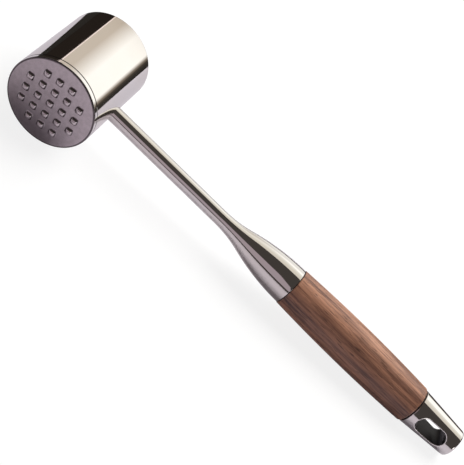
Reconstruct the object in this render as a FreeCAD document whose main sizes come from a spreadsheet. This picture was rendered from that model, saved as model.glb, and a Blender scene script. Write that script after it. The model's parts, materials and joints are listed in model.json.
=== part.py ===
"""Meat mallet with a round steel head, a slim steel stem and a turned wooden grip.

Frame of every outline below: X runs from the head's centre line along the handle to the butt,
Y is the head's own centre line with the flat striking face at +Y and the toothed one at -Y,
and Z points up. The handle's centre line is X. The finished mallet lies on a table: each piece
gets the same placement, which dips the handle until the rear end of the grip touches the table
and moves the origin to the middle of the footprint, on the table. All sizes are in millimetres.
"""
import FreeCAD, Part
import math
import os
import re
import Sketcher

V = FreeCAD.Vector

# Driving dimensions: alias, value, meaning.
DRIVING = [
    ("head_diameter", 50.0, "outer diameter of the head"),
    ("head_length", 59.2, "flat face to toothed face, teeth left out"),
    ("shell_wall", 2.0, "wall of the head's shell"),
    ("flat_face_wall", 4.0, "thickness of the flat striking face"),
    ("flat_face_edge", 0.6, "edge radius of the flat face"),
    ("toothed_rim", 3.0, "height of the toothed plate's rim"),
    ("toothed_spigot", 3.0, "length of the plate's spigot inside the shell"),
    ("toothed_edge", 0.8, "edge radius of the toothed face"),
    ("seam_chamfer", 0.3, "chamfer each side of the seam round the head"),
    ("tooth_pitch", 7.4, "spacing of the teeth, both ways"),
    ("tooth_base", 4.2, "side of a tooth's square foot"),
    ("tooth_tip", 1.5, "side of a tooth's flat tip"),
    ("tooth_height", 1.8, "how far a tooth stands out"),
    ("tooth_turn", 10.6, "angle between the rows of teeth and the handle"),
    ("turned_clearance", 0.02, "radial clearance between turned steel pieces"),
    ("stem_diameter", 8.7, "diameter of the slim part of the stem"),
    ("stem_thread", 8.0, "nominal thread that screws into the head's core"),
    ("stem_thread_length", 16.0, "length of that thread"),
    ("stem_seat_depth", 1.5, "depth of the stem's seat in the core"),
    ("flare_start", 101.8, "head's centre line to the start of the flare"),
    ("flare_end", 154.2, "head's centre line to the rear face of the flare"),
    ("flare_diameter", 22.3, "diameter at the flare's rear face"),
    ("flare_share", 0.3475, "part of the flare that curves inwards"),
    ("tang_thread", 6.0, "nominal thread of the tang rod"),
    ("tang_hold", 20.0, "length of the tang rod inside the stem"),
    ("front_seal_thickness", 0.4, "seal between stem and grip"),
    ("rear_seal_thickness", 0.8, "seal between grip and end cap"),
    ("seal_inset", 0.25, "how far a seal stays inside its metal neighbour"),
    ("grip_length", 91.9, "length of the wooden grip"),
    ("grip_belly_diameter", 24.84, "largest diameter of the grip"),
    ("grip_belly_place", 45.4, "front of the grip to its largest diameter"),
    ("grip_bow_radius", 1030.0, "radius of the grip's long curve"),
    ("grip_front_edge", 0.3, "rounding of the grip's front edge"),
    ("grip_rear_edge", 1.0, "rounding of the grip's rear edge"),
    ("grip_bore_clearance", 0.25, "radial clearance of the tang rod in the grip"),
    ("grip_pocket_depth", 20.0, "depth of the pocket in the grip's rear end"),
    ("grip_pocket_clearance", 0.5, "radial room round the cap's spigot"),
    ("washer_diameter", 12.0, "outer diameter of the tang washer"),
    ("washer_thickness", 1.2, "thickness of the tang washer"),
    ("washer_clearance", 0.2, "radial clearance of the washer on the rod"),
    ("nut_across_flats", 10.0, "width of the tang nut across its flats"),
    ("nut_thickness", 5.0, "thickness of the tang nut"),
    ("cap_length", 30.6, "length of the end cap that shows"),
    ("cap_front_diameter", 21.7, "diameter of the cap next to the grip"),
    ("cap_end_diameter", 17.0, "diameter of the cap at the butt"),
    ("cap_edge", 1.5, "rounding of the butt's edge"),
    ("cap_front_edge", 0.3, "rounding of the cap's front edge"),
    ("spigot_diameter", 12.0, "diameter of the cap's spigot"),
    ("spigot_length", 8.0, "length of the cap's spigot"),
    ("spigot_thread_past", 0.5, "how far the thread runs past the spigot into the cap"),
    ("tang_end_gap", 0.8, "gap between the tang rod and the end of that thread"),
    ("thread_chamfer", 0.6, "chamfer at the ends of threaded rods"),
    ("drill_point", 0.6, "height of a drilled hole's cone over its radius"),
    ("slot_length", 19.0, "length of the hanging slot along the handle"),
    ("slot_width", 9.5, "width of the hanging slot"),
    ("slot_from_butt", 16.2, "butt to the middle of the slot"),
    ("slot_turn", 13.1, "angle of the slot's line of sight up from -Y"),
    ("slot_rim", 0.6, "rounding of the slot's rim"),
]



def dip_to_table(across, up, rounding):
    """Formula for the dip that brings a rounded edge to the table, from its rounding's centre."""
    return (f"asin((head_radius - {rounding}) / hypot({across}; {up}))"
            f" - atan2({up}; {across})")


# Places worked out from the driving dimensions: alias, formula, meaning.
DERIVED = [
    ("head_radius", "head_diameter / 2", "radius of the head"),
    ("flat_y", "(head_length + tooth_height) / 2", "plane of the flat face"),
    ("toothed_y", "flat_y - head_length", "plane of the toothed face"),
    ("seam_y", "toothed_y + toothed_rim", "seam between shell and toothed plate"),
    ("core_low_y", "seam_y + toothed_spigot", "inner end of the plate's spigot"),
    ("core_high_y", "flat_y - flat_face_wall", "inner side of the flat face"),
    ("shell_bore", "head_radius - shell_wall", "radius of the shell's bore"),
    ("core_radius", "shell_bore - turned_clearance", "radius of what fits in the shell"),
    ("tooth_taper", "atan((tooth_base - tooth_tip) / 2 / tooth_height)", "draft of a tooth's side"),
    ("stem_radius", "stem_diameter / 2", "radius of the stem"),
    ("stem_hole", "stem_radius + turned_clearance", "radius of the stem's hole in the head"),
    ("seat_x", "shell_bore - stem_seat_depth", "bottom of the stem's seat in the core"),
    ("thread_front_x", "seat_x - stem_thread_length", "front end of the stem's thread"),
    ("thread_radius", "stem_thread / 2", "radius of the stem's thread"),
    ("flare_radius", "flare_diameter / 2", "radius at the flare's rear face"),
    ("flare_run", "flare_end - flare_start", "length of the flare"),
    ("flare_rise", "flare_radius - stem_radius", "growth in radius over the flare"),
    ("flare_turn_x", "flare_start + flare_share * flare_run", "where the curve changes side"),
    ("flare_turn_r", "stem_radius + flare_share * flare_rise", "radius there"),
    ("flare_arcs", "(flare_run ^ 2 + flare_rise ^ 2) / (2 * flare_rise)", "both arcs' radii added"),
    ("flare_inner_arc", "flare_share * flare_arcs", "radius of the hollow curve"),
    ("flare_outer_arc", "(1 - flare_share) * flare_arcs", "radius of the full curve"),
    ("tang_radius", "tang_thread / 2", "radius of the tang rod"),
    ("tang_front_x", "flare_end - tang_hold", "front end of the tang rod"),
    ("tang_point_x", "tang_front_x - drill_point * tang_radius", "drill point in the stem"),
    ("grip_front_x", "flare_end + front_seal_thickness", "front face of the grip"),
    ("grip_rear_x", "grip_front_x + grip_length", "rear face of the grip"),
    ("belly_x", "grip_front_x + grip_belly_place", "place of the largest diameter"),
    ("bow_centre_r", "grip_belly_diameter / 2 - grip_bow_radius", "centre of the long curve"),
    ("grip_front_r",
     "bow_centre_r + sqrt(grip_bow_radius ^ 2 - (grip_front_x - belly_x) ^ 2)",
     "radius of the grip's front face"),
    ("grip_rear_r",
     "bow_centre_r + sqrt(grip_bow_radius ^ 2 - (grip_rear_x - belly_x) ^ 2)",
     "radius of the grip's rear face"),
    ("grip_bore", "tang_radius + grip_bore_clearance", "radius of the hole through the grip"),
    ("spigot_radius", "spigot_diameter / 2", "radius of the cap's spigot"),
    ("pocket_radius", "max(spigot_diameter; washer_diameter) / 2 + grip_pocket_clearance",
     "radius of the pocket in the grip"),
    ("pocket_x", "grip_rear_x - grip_pocket_depth", "bottom of the pocket"),
    ("washer_rear_x", "pocket_x + washer_thickness", "rear face of the washer"),
    ("washer_bore", "tang_radius + washer_clearance", "radius of the washer's hole"),
    ("cap_x", "grip_rear_x + rear_seal_thickness", "front face of the cap"),
    ("butt_x", "cap_x + cap_length", "butt of the handle"),
    ("spigot_x", "cap_x - spigot_length", "front end of the cap's spigot"),
    ("cap_thread_x", "cap_x + spigot_thread_past", "end of the cap's thread"),
    ("cap_point_x", "cap_thread_x + drill_point * tang_radius", "drill point in the cap"),
    ("tang_rear_x", "cap_thread_x - tang_end_gap", "rear end of the tang rod"),
    ("cap_front_r", "cap_front_diameter / 2", "radius of the cap's front"),
    ("cap_end_r", "cap_end_diameter / 2", "radius of the cap's end"),
    ("front_seal_r", "min(flare_radius; grip_front_r) - seal_inset", "outer radius of the front seal"),
    ("rear_seal_r", "min(cap_front_r; grip_rear_r - grip_rear_edge) - seal_inset",
     "outer radius of the rear seal"),
    ("rear_seal_bore", "spigot_radius + turned_clearance", "inner radius of the rear seal"),
    ("slot_x", "butt_x - slot_from_butt", "middle of the hanging slot"),
    ("slot_reach", "(slot_length - slot_width) / 2", "slot's middle to the centre of its round end"),
    ("rear_round_r",
     "bow_centre_r + sqrt((grip_bow_radius - grip_rear_edge) ^ 2"
     " - (grip_rear_x - grip_rear_edge - belly_x) ^ 2)",
     "centre of the rounding at the grip's rear edge"),
    ("edge_dip",
     dip_to_table("(grip_rear_x - grip_rear_edge)", "rear_round_r", "grip_rear_edge"),
     "dip that brings the grip's rear edge to the table"),
    ("cap_dip",
     dip_to_table("(cap_x + cap_front_edge)", "(cap_front_r - cap_front_edge)", "cap_front_edge"),
     "dip that brings the cap's front edge to the table"),
    ("butt_dip",
     dip_to_table("(butt_x - cap_edge)", "(cap_end_r - cap_edge)", "cap_edge"),
     "dip that brings the butt's edge to the table"),
    ("bow_dip",
     "acos((grip_bow_radius - head_radius) / hypot(belly_x; bow_centre_r))"
     " - atan2(belly_x; -bow_centre_r)",
     "dip that brings the grip's long curve to the table"),
    ("bow_touch_x", "belly_x + grip_bow_radius * sin(bow_dip)", "where that curve would touch"),
    ("lying_dip",
     "min(cap_dip; butt_dip; bow_touch_x < grip_rear_x - grip_rear_edge ? bow_dip : edge_dip)",
     "dip of the handle when the mallet lies on a table"),
    ("far_x",
     "(butt_x - cap_edge) * cos(lying_dip) + (cap_end_r - cap_edge) * sin(lying_dip) + cap_edge",
     "farthest point of the butt from the head's centre line"),
    ("shift_x", "(head_radius - far_x) / 2", "head's centre line in the mallet's own frame"),
]

doc = FreeCAD.newDocument("meat_mallet")
sheet = doc.addObject("Spreadsheet::Sheet", "sizes")
for row, (alias, value, meaning) in enumerate(DRIVING + DERIVED, start=1):
    driving = not isinstance(value, str)
    sheet.set(f"A{row}", alias)
    sheet.set(f"B{row}", str(value) if driving else "=" + value)
    sheet.setAlias(f"B{row}", alias)
    sheet.set(f"C{row}", meaning)
doc.recompute()


def bound(text):
    """Formula in the sheet's words, written for an object other than the sheet."""
    return re.sub(r"[a-z]+(?:_[a-z]+)+", lambda word: "sizes." + word.group(0), text)


def size(text):
    """Value of a formula in the sheet's words."""
    result = sheet.evalExpression(text)
    return float(getattr(result, "Value", result))


def new_body(label):
    """An empty body that lies with the handle dipped to the table."""
    body = doc.addObject("PartDesign::Body", label)
    body.Label = label
    body.Placement = FreeCAD.Placement(V(), FreeCAD.Rotation(V(0, 1, 0), 1))
    body.setExpression("Placement.Base.x", bound("shift_x"))
    body.setExpression("Placement.Base.z", bound("head_radius"))
    body.setExpression("Placement.Rotation.Angle", bound("lying_dip"))
    return body


def new_sketch(body, name, plane):
    """An empty sketch on one of the body's own origin planes."""
    sketch = body.newObject("Sketcher::SketchObject", name)
    support = next(item for item in body.Origin.OriginFeatures if item.Role == plane)
    sketch.AttachmentSupport = [(support, "")]
    sketch.MapMode = "FlatFace"
    return sketch


def hold_point(sketch, geometry, end, across, up):
    """Fix one point of a sketch at two formulas."""
    for kind, formula, axis in (("DistanceX", across, -2), ("DistanceY", up, -1)):
        if formula == "0":
            sketch.addConstraint(Sketcher.Constraint("PointOnObject", geometry, end, axis))
            continue
        held = sketch.addConstraint(
            Sketcher.Constraint(kind, -1, 1, geometry, end, size(formula)))
        sketch.setExpression(f"Constraints[{held}]", bound(formula))


def draw_outline(sketch, corners, arcs=()):
    """Draw a closed outline through corners (across, up), all formulas.

    arcs maps the number of a corner to (radius, side): the stretch that starts there is an
    arc, bulging to the left of the way the outline runs when side is 1 and to the right
    when it is -1. A half circle has a third value, the place of its centre across, which
    holds it instead of the radius.
    """
    arcs = dict(arcs)
    places = [V(size(across), size(up), 0) for across, up in corners]
    ends = []
    for index, start in enumerate(places):
        stop = places[(index + 1) % len(places)]
        if index not in arcs:
            line = sketch.addGeometry(Part.LineSegment(start, stop))
            ends.append((line, 1, 2))
            continue
        radius, side = arcs[index][:2]
        chord = stop - start
        left = V(-chord.y, chord.x, 0).normalize()
        reach = math.sqrt(max(size(radius) ** 2 - (chord.Length / 2) ** 2, 0))
        centre = (start + stop) * 0.5 - left * side * reach
        first, last = (stop, start) if side > 0 else (start, stop)
        from_angle = math.atan2(first.y - centre.y, first.x - centre.x)
        to_angle = math.atan2(last.y - centre.y, last.x - centre.x)
        circle = Part.Circle(centre, V(0, 0, 1), size(radius))
        arc = sketch.addGeometry(Part.ArcOfCircle(circle, from_angle, to_angle))
        ends.append((arc, 2, 1) if side > 0 else (arc, 1, 2))
    for index, (line, _, end) in enumerate(ends):
        follower, start, _ = ends[(index + 1) % len(ends)]
        sketch.addConstraint(Sketcher.Constraint("Coincident", line, end, follower, start))
    for (line, start, _), (across, up) in zip(ends, corners):
        hold_point(sketch, line, start, across, up)
    for index, (radius, _, *centre) in arcs.items():
        arc = ends[index][0]
        formula = centre[0] if centre else radius
        rule = ("DistanceX", -1, 1, arc, 3) if centre else ("Radius", arc)
        held = sketch.addConstraint(Sketcher.Constraint(*rule, size(formula)))
        sketch.setExpression(f"Constraints[{held}]", bound(formula))


def turn(body, axis, corners, arcs=(), cut=False):
    """Revolve an outline in the X-Y plane about X (the handle) or Y (the head)."""
    kind = "PartDesign::Groove" if cut else "PartDesign::Revolution"
    role = "Bore" if cut else "Turning"
    solid_volume = body.Tip.Shape.Volume if cut else 0
    sketch = new_sketch(body, body.Label + role + "Outline", "XY_Plane")
    draw_outline(sketch, corners, arcs)
    feature = body.newObject(kind, body.Label + role)
    feature.Profile = sketch
    feature.ReferenceAxis = (sketch, [{"X": "H_Axis", "Y": "V_Axis"}[axis]])
    feature.Angle = 360
    body.Tip = feature
    doc.recompute()
    if cut and feature.Shape.Volume >= solid_volume:
        raise RuntimeError(f"{feature.Label} cuts nothing")
    return feature


def round_edges(body, name, radius, wanted):
    """Round each edge of the body that the test picks out."""
    base = body.Tip
    picked = [f"Edge{index}" for index, edge in enumerate(base.Shape.Edges, start=1) if wanted(edge)]
    if not picked:
        raise RuntimeError(f"{body.Label} has no edge for {name}")
    rounding = body.newObject("PartDesign::Fillet", body.Label + name)
    rounding.Base = (base, picked)
    rounding.setExpression("Radius", bound(radius))
    body.Tip = rounding
    doc.recompute()
    return rounding


def ring_at(across, radius, along):
    """Test for a full circle about X ("X") or Y ("Y") at a place and a radius."""
    place, reach = size(across), size(radius)

    def wanted(edge):
        if not isinstance(edge.Curve, Part.Circle):
            return False
        centre = getattr(edge.Curve.Center, along.lower())
        return abs(centre - place) < 1e-4 and abs(edge.Curve.Radius - reach) < 1e-4

    return wanted


# Head: a drawn shell whose closed end is the flat striking face.
head_shell = new_body("head_shell")
turn(head_shell, "Y", [
    ("0", "core_high_y"),
    ("shell_bore", "core_high_y"),
    ("shell_bore", "seam_y"),
    ("head_radius - seam_chamfer", "seam_y"),
    ("head_radius", "seam_y + seam_chamfer"),
    ("head_radius", "flat_y"),
    ("0", "flat_y"),
])
round_edges(head_shell, "FlatEdge", "flat_face_edge", ring_at("flat_y", "head_radius", "Y"))
turn(head_shell, "X", [
    ("shell_bore / 2", "0"),
    ("shell_bore / 2", "stem_hole"),
    ("head_diameter", "stem_hole"),
    ("head_diameter", "0"),
], cut=True)

# Head: the steel core that gives the weight and takes the stem's thread.
head_core = new_body("head_core")
turn(head_core, "Y", [
    ("0", "core_low_y"),
    ("core_radius", "core_low_y"),
    ("core_radius", "core_high_y"),
    ("0", "core_high_y"),
])
turn(head_core, "X", [
    ("thread_front_x - drill_point * thread_radius", "0"),
    ("thread_front_x", "thread_radius"),
    ("seat_x", "thread_radius"),
    ("seat_x", "stem_hole"),
    ("head_diameter", "stem_hole"),
    ("head_diameter", "0"),
], cut=True)

# Head: the toothed plate that closes the shell's mouth.
toothed_face = new_body("toothed_face")
turn(toothed_face, "Y", [
    ("0", "toothed_y"),
    ("head_radius", "toothed_y"),
    ("head_radius", "seam_y - seam_chamfer"),
    ("head_radius - seam_chamfer", "seam_y"),
    ("core_radius", "seam_y"),
    ("core_radius", "core_low_y"),
    ("0", "core_low_y"),
])
round_edges(toothed_face, "RimEdge", "toothed_edge", ring_at("toothed_y", "head_radius", "Y"))


def tooth_rows(name, columns, rows, column_gap, row_gap):
    """A grid of teeth, centred on the plate: one tapered tooth and two patterns of it."""
    sketch = new_sketch(toothed_face, name + "Foot", "XZ_Plane")
    sketch.AttachmentOffset = FreeCAD.Placement(V(), FreeCAD.Rotation(V(0, 0, 1), 1))
    sketch.setExpression("AttachmentOffset.Base.z", bound("-toothed_y"))
    sketch.setExpression("AttachmentOffset.Rotation.Angle", bound("tooth_turn"))
    left = f"-{columns - 1} / 2 * {column_gap}"
    low = f"-{rows - 1} / 2 * {row_gap}"
    draw_outline(sketch, [
        (f"{left} - tooth_base / 2", f"{low} - tooth_base / 2"),
        (f"{left} + tooth_base / 2", f"{low} - tooth_base / 2"),
        (f"{left} + tooth_base / 2", f"{low} + tooth_base / 2"),
        (f"{left} - tooth_base / 2", f"{low} + tooth_base / 2"),
    ])
    tooth = toothed_face.newObject("PartDesign::Pad", name + "Tooth")
    tooth.Profile = sketch
    tooth.setExpression("Length", bound("tooth_height"))
    tooth.setExpression("TaperAngle", bound("-tooth_taper"))
    toothed_face.Tip = tooth
    doc.recompute()
    grid = toothed_face.newObject("PartDesign::MultiTransform", name + "Grid")
    grid.Originals = [tooth]
    steps = []
    for axis, count, gap in (("H_Axis", columns, column_gap), ("V_Axis", rows, row_gap)):
        step = doc.addObject("PartDesign::LinearPattern", name + axis[0] + "Step")
        toothed_face.addObject(step)
        step.Direction = (sketch, [axis])
        step.Occurrences = count
        step.setExpression("Length", bound(f"{count - 1} * {gap}"))
        steps.append(step)
    grid.Transformations = steps
    toothed_face.Tip = grid
    doc.recompute()


# Teeth: five by five without the four corners.
tooth_rows("Middle", 5, 3, "tooth_pitch", "tooth_pitch")
tooth_rows("Outer", 3, 2, "tooth_pitch", "(4 * tooth_pitch)")

# Stem: slim bar with its own thread at the head and a trumpet flare at the grip.
stem = new_body("stem")
turn(stem, "X", [
    ("thread_front_x", "0"),
    ("thread_front_x", "thread_radius - thread_chamfer"),
    ("thread_front_x + thread_chamfer", "thread_radius"),
    ("seat_x", "thread_radius"),
    ("seat_x", "stem_radius"),
    ("flare_start", "stem_radius"),
    ("flare_turn_x", "flare_turn_r"),
    ("flare_end", "flare_radius"),
    ("flare_end", "tang_radius"),
    ("tang_front_x", "tang_radius"),
    ("tang_point_x", "0"),
], arcs={5: ("flare_inner_arc", -1), 6: ("flare_outer_arc", 1)})

# Tang rod: threaded rod through the grip, from the stem to the end cap.
tang_rod = new_body("tang_rod")
turn(tang_rod, "X", [
    ("tang_front_x", "0"),
    ("tang_front_x", "tang_radius - thread_chamfer"),
    ("tang_front_x + thread_chamfer", "tang_radius"),
    ("tang_rear_x - thread_chamfer", "tang_radius"),
    ("tang_rear_x", "tang_radius - thread_chamfer"),
    ("tang_rear_x", "0"),
])


def ring(label, front, rear, inside, outside):
    """A flat ring round the handle's centre line."""
    body = new_body(label)
    turn(body, "X", [(front, inside), (front, outside), (rear, outside), (rear, inside)])
    return body


front_seal = ring("front_seal", "flare_end", "grip_front_x", "grip_bore", "front_seal_r")

# Grip: turned from one piece of wood, bored for the rod, with a pocket for nut and spigot.
grip = new_body("grip")
turn(grip, "X", [
    ("grip_front_x", "grip_bore"),
    ("grip_front_x", "grip_front_r"),
    ("grip_rear_x", "grip_rear_r"),
    ("grip_rear_x", "pocket_radius"),
    ("pocket_x", "pocket_radius"),
    ("pocket_x", "grip_bore"),
], arcs={1: ("grip_bow_radius", 1)})
round_edges(grip, "FrontEdge", "grip_front_edge", ring_at("grip_front_x", "grip_front_r", "X"))
round_edges(grip, "RearEdge", "grip_rear_edge", ring_at("grip_rear_x", "grip_rear_r", "X"))

# Washer and nut that hold the wood against the stem, at the bottom of the grip's pocket.
tang_washer = ring("tang_washer", "pocket_x", "washer_rear_x", "washer_bore", "washer_diameter / 2")

tang_nut = new_body("tang_nut")
nut_sketch = new_sketch(tang_nut, "tang_nutHexagon", "YZ_Plane")
nut_sketch.setExpression("AttachmentOffset.Base.z", bound("washer_rear_x"))
CORNER_TURNS = range(30, 390, 60)
draw_outline(nut_sketch, [
    (f"nut_across_flats / sqrt(3) * cos({angle})", f"nut_across_flats / sqrt(3) * sin({angle})")
    for angle in CORNER_TURNS
])
nut_pad = tang_nut.newObject("PartDesign::Pad", "tang_nutPad")
nut_pad.Profile = nut_sketch
nut_pad.setExpression("Length", bound("nut_thickness"))
tang_nut.Tip = nut_pad
doc.recompute()
turn(tang_nut, "X", [
    ("pocket_x", "0"),
    ("pocket_x", "tang_radius"),
    ("grip_rear_x", "tang_radius"),
    ("grip_rear_x", "0"),
], cut=True)

rear_seal = ring("rear_seal", "grip_rear_x", "cap_x", "rear_seal_bore", "rear_seal_r")

# End cap: tapered, with a threaded spigot towards the grip and a slot to hang the mallet by.
end_cap = new_body("end_cap")
turn(end_cap, "X", [
    ("spigot_x", "tang_radius"),
    ("spigot_x", "spigot_radius"),
    ("cap_x", "spigot_radius"),
    ("cap_x", "cap_front_r"),
    ("butt_x", "cap_end_r"),
    ("butt_x", "0"),
    ("cap_point_x", "0"),
    ("cap_thread_x", "tang_radius"),
])
round_edges(end_cap, "FrontEdge", "cap_front_edge", ring_at("cap_x", "cap_front_r", "X"))
round_edges(end_cap, "ButtEdge", "cap_edge", ring_at("butt_x", "cap_end_r", "X"))

slot_sketch = new_sketch(end_cap, "end_capSlotOutline", "XZ_Plane")
slot_sketch.AttachmentOffset = FreeCAD.Placement(V(), FreeCAD.Rotation(V(1, 0, 0), 1))
slot_sketch.setExpression("AttachmentOffset.Rotation.Angle", bound("-slot_turn"))
draw_outline(slot_sketch, [
    ("slot_x - slot_reach", "-slot_width / 2"),
    ("slot_x + slot_reach", "-slot_width / 2"),
    ("slot_x + slot_reach", "slot_width / 2"),
    ("slot_x - slot_reach", "slot_width / 2"),
], arcs={
    1: ("slot_width / 2", -1, "slot_x + slot_reach"),
    3: ("slot_width / 2", -1, "slot_x - slot_reach"),
})
solid_cap_volume = end_cap.Tip.Shape.Volume
slot = end_cap.newObject("PartDesign::Pocket", "end_capSlot")
slot.Profile = slot_sketch
slot.Midplane = True
slot.setExpression("Length", bound("4 * cap_front_r"))
end_cap.Tip = slot
doc.recompute()
if slot.Shape.Volume >= solid_cap_volume:
    raise RuntimeError("the hanging slot cuts nothing")


def on_slot_rim(edge):
    """Test for the edges where the slot breaks through the cap's outside."""
    middle = edge.valueAt((edge.FirstParameter + edge.LastParameter) / 2)
    if not size("cap_x + cap_front_edge") < middle.x < size("butt_x - cap_edge"):
        return False
    from_axis = math.hypot(middle.y, middle.z)
    taper = size("(cap_front_r - cap_end_r) / (butt_x - cap_x)")
    skin = size("cap_front_r") - taper * (middle.x - size("cap_x"))
    spans = edge.BoundBox.YLength + edge.BoundBox.ZLength
    return abs(from_axis - skin) < 0.02 and spans < size("2 * slot_width")


round_edges(end_cap, "SlotRim", "slot_rim", on_slot_rim)

SUB_PARTS = [
    head_shell, head_core, toothed_face, stem, tang_rod, front_seal,
    grip, tang_washer, tang_nut, rear_seal, end_cap,
]

doc.recompute()
for item in doc.Objects:
    if "Invalid" in item.State or "Error" in item.State:
        raise RuntimeError(f"{item.Label} failed: {item.State}")
for piece in SUB_PARTS:
    if piece.Shape.isNull() or not piece.Shape.isValid() or len(piece.Shape.Solids) != 1:
        raise RuntimeError(f"{piece.Label} is not one sound solid")

os.makedirs("parts", exist_ok=True)
for piece in SUB_PARTS:
    piece.Shape.exportStep(f"parts/{piece.Label}.step")
    box = piece.Shape.BoundBox
    print(f"{piece.Label:13s} {piece.Shape.Volume:10.1f} mm3"
          f"  x {box.XMin:8.2f} {box.XMax:8.2f}"
          f"  y {box.YMin:7.2f} {box.YMax:7.2f}  z {box.ZMin:6.2f} {box.ZMax:6.2f}")
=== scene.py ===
"""Meat mallet: round steel head, slim flared stem, turned rosewood grip and chromed end cap."""
import itertools
import json
import math

import bmesh
import bpy
from mathutils import Matrix, Vector


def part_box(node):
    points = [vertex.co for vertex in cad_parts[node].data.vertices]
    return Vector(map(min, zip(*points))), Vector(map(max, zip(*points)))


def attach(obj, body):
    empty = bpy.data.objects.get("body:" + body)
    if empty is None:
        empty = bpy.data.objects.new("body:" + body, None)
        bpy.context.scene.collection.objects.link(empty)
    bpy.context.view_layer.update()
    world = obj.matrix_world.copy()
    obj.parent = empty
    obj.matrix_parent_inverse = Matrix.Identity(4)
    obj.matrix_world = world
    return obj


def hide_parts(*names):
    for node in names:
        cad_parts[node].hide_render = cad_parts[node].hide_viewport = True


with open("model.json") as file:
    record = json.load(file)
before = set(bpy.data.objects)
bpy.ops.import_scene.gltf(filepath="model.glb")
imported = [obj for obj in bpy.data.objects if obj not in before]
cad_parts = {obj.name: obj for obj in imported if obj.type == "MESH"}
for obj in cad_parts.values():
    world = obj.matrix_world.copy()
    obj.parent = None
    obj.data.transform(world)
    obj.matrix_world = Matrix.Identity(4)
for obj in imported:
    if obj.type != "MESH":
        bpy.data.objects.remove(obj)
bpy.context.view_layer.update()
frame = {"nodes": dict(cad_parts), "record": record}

bl_info = {
    "name": "Meat Mallet",
    "version": (1, 0, 0),
    "blender": (4, 5, 0),
    "location": "3D View > Sidebar > Mallet",
    "description": "Models a steel meat mallet with a turned wooden grip round its CAD frame",
    "category": "Object",
}

# The handle's frame: X runs from the head's centre to the butt, Y is the head's own axis.
# The two mounts give it: one is on the head's axis and the other on the handle's.
PLACES = {mount["name"]: Vector(mount["pos_m"]) for mount in frame["record"]["mounts"]}
HEAD = Vector((PLACES["flat_striking_face"].x, 0, PLACES["flat_striking_face"].z))
SLOT = PLACES["hanging_slot"]
DIP = math.atan2(HEAD.z - SLOT.z, SLOT.x - HEAD.x)
HANDLE = Matrix.Translation(HEAD) @ Matrix.Rotation(DIP, 4, "Y")

MM = 0.001
TURN_STEPS = 256                     # faces round a turned piece
HOLE_STEPS = 96                      # faces round the stem's hole in the shell
ROUNDING_STEPS = 5                   # faces across a rounded edge
CURVE_STEPS = 24                     # stretches of a long curve in an outline
SMOOTH_BELOW = math.radians(32)      # a flatter edge than this is shaded smooth
SAME_PLACE = 0.001 * MM              # points nearer than this are one point

# The hanging slot in the end cap: its place along the handle, the radius of its round ends,
# how far they lie from its middle, and how far it is turned round the handle.
SLOT_ALONG = (SLOT - HEAD).length
SLOT_RADIUS = 4.75 * MM
SLOT_REACH = 4.75 * MM
SLOT_TURN = math.radians(13.1)


def reach(node):
    """Front end, rear end and largest radius of a piece, measured along the handle."""
    back = HANDLE.inverted()
    points = [back @ vertex.co for vertex in frame["nodes"][node].data.vertices]
    along = [point.x for point in points]
    return min(along), max(along), max(math.hypot(point.y, point.z) for point in points)


SHELL_LOW, SHELL_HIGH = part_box("head_shell")
PLATE_LOW, PLATE_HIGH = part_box("toothed_face")
STEM_FRONT, STEM_REAR, FLARE_RADIUS = reach("stem")
GRIP_FRONT, GRIP_REAR, BELLY_RADIUS = reach("grip")
ROD_FRONT, _, ROD_RADIUS = reach("tang_rod")
WASHER_FRONT, _, WASHER_RADIUS = reach("tang_washer")


# Sizes and colours that a user would change.

def length(name, description, default):
    """A size in metres."""
    return bpy.props.FloatProperty(
        name=name, description=description, default=default, unit="LENGTH", subtype="DISTANCE",
        precision=5)


def colour(name, description, default):
    """A linear colour."""
    return bpy.props.FloatVectorProperty(
        name=name, description=description, default=default, size=3, min=0, max=1, subtype="COLOR")


def share(name, description, default):
    """A value from 0 to 1."""
    return bpy.props.FloatProperty(
        name=name, description=description, default=default, min=0, max=1, subtype="FACTOR")


class MalletHeadSizes(bpy.types.PropertyGroup):
    """Sizes of the head's shell and toothed plate."""
    radius: length("Radius", "Radius of the head", SHELL_HIGH.z / 2)
    wall: length("Wall", "Wall of the shell", 2.0 * MM)
    flat_wall: length("Flat wall", "Thickness of the flat striking face", 4.0 * MM)
    flat_edge: length("Flat edge", "Rounding of the flat face's edge", 0.6 * MM)
    seam_chamfer: length("Seam chamfer", "Chamfer on each side of the seam", 0.3 * MM)
    stem_gap: length("Stem gap", "Gap between the shell's hole and the stem", 0.12 * MM)
    plate_edge: length("Plate edge", "Rounding of the toothed face's edge", 0.8 * MM)
    rim: length("Rim", "Height of the toothed plate's rim", 3.0 * MM)
    tooth_pitch: length("Tooth pitch", "Spacing of the teeth, both ways", 7.4 * MM)
    tooth_foot: length("Tooth foot", "Width of a tooth just above its foot", 4.2 * MM)
    tooth_corner: length("Tooth corner", "Rounding of a tooth's four corners at its foot", 1.4 * MM)
    tooth_height: length("Tooth height", "How far a tooth stands out", 1.8 * MM)
    tooth_turn: bpy.props.FloatProperty(
        name="Tooth turn", description="Angle between the rows of teeth and the handle",
        default=math.radians(10.6), subtype="ANGLE")


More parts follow.
